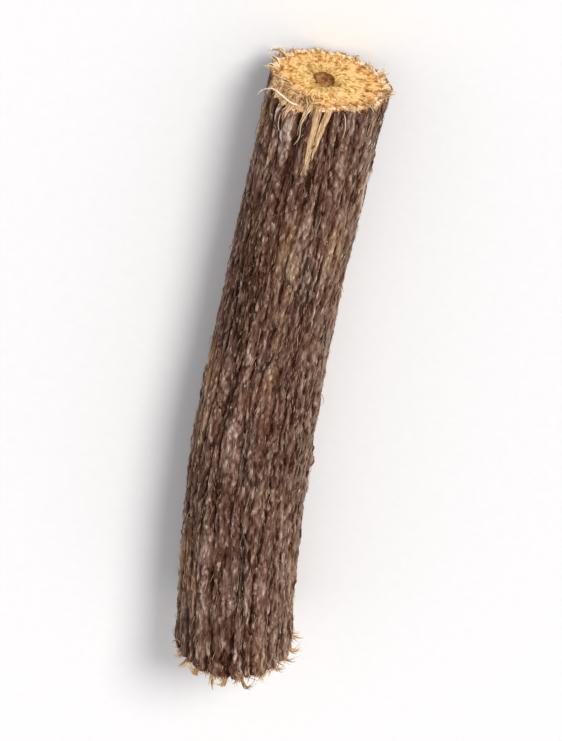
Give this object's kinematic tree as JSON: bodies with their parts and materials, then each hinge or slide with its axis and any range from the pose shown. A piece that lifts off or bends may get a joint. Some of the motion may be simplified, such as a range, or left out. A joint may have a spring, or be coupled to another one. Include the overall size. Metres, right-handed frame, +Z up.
{
  "type": "licorice root stick",
  "caption": "Dried licorice root stick lying on its side, with furrowed dark brown bark, splintered sawn ends and a yellow fibrous cut face with a brown pith.",
  "frame": {"origin": "middle of the flat spot under the stick's middle, on the surface that it rests on", "axes": "+X along the stick towards its showy sawn end, +Z up from the surface"},
  "size_m": [0.073, 0.0149, 0.0134],
  "materials": {
    "bark": "dry, rough, dark brown furrowed bark, with pale golden fibrous wood at the sawn ends"
  },
  "bodies": {
    "root": {"licorice_root": "bark"}
  },
  "joints": []
}
